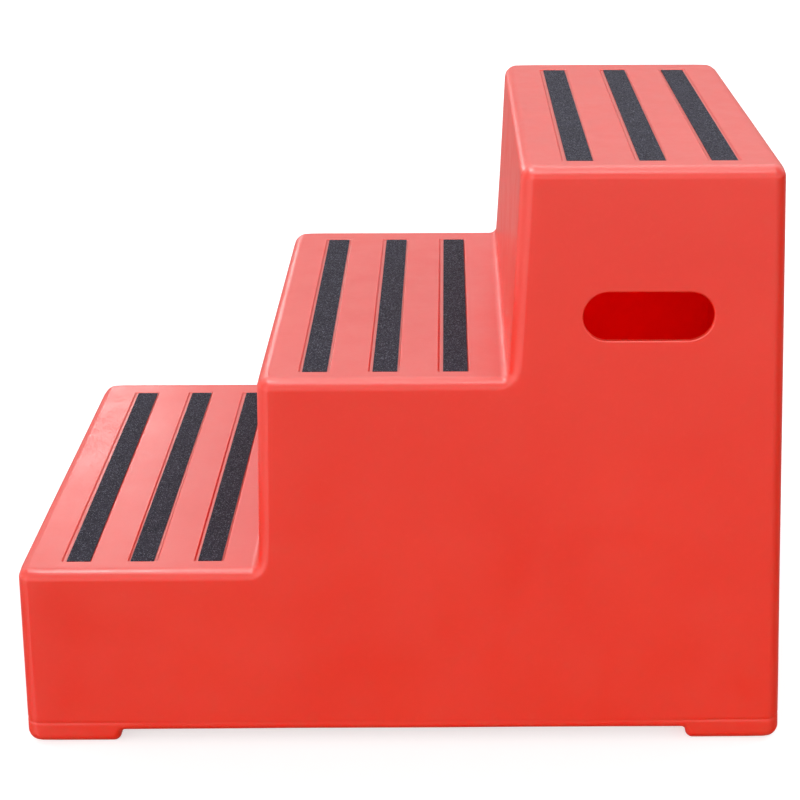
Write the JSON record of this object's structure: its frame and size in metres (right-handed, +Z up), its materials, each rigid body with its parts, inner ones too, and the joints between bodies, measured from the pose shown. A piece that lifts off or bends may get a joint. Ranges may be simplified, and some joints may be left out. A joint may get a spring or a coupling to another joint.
{
  "type": "mounting block",
  "caption": "Hollow moulded plastic mounting block with stepped treads, inlaid anti-slip grip strips, hand holes in both side walls and moulded-in corner feet.",
  "frame": {"origin": "on the floor, at the middle of the footprint", "axes": "+X up the stairs, from the front of the lowest tread to the back wall; +Y across the treads; +Z up"},
  "size_m": [0.819, 0.4936, 0.635],
  "materials": {
    "shell_plastic": "satin rotationally moulded polyethylene, red, fine orange-peel surface",
    "grip_strip": "mineral-grit anti-slip tape, near black, matt with small sparkling grains"
  },
  "bodies": {
    "root": {"body_shell": "shell_plastic", "lower_tread_grip_front": "grip_strip", "lower_tread_grip_middle": "grip_strip", "lower_tread_grip_rear": "grip_strip", "middle_tread_grip_front": "grip_strip", "middle_tread_grip_middle": "grip_strip", "middle_tread_grip_rear": "grip_strip", "top_tread_grip_front": "grip_strip", "top_tread_grip_middle": "grip_strip", "top_tread_grip_rear": "grip_strip"}
  },
  "joints": []
}
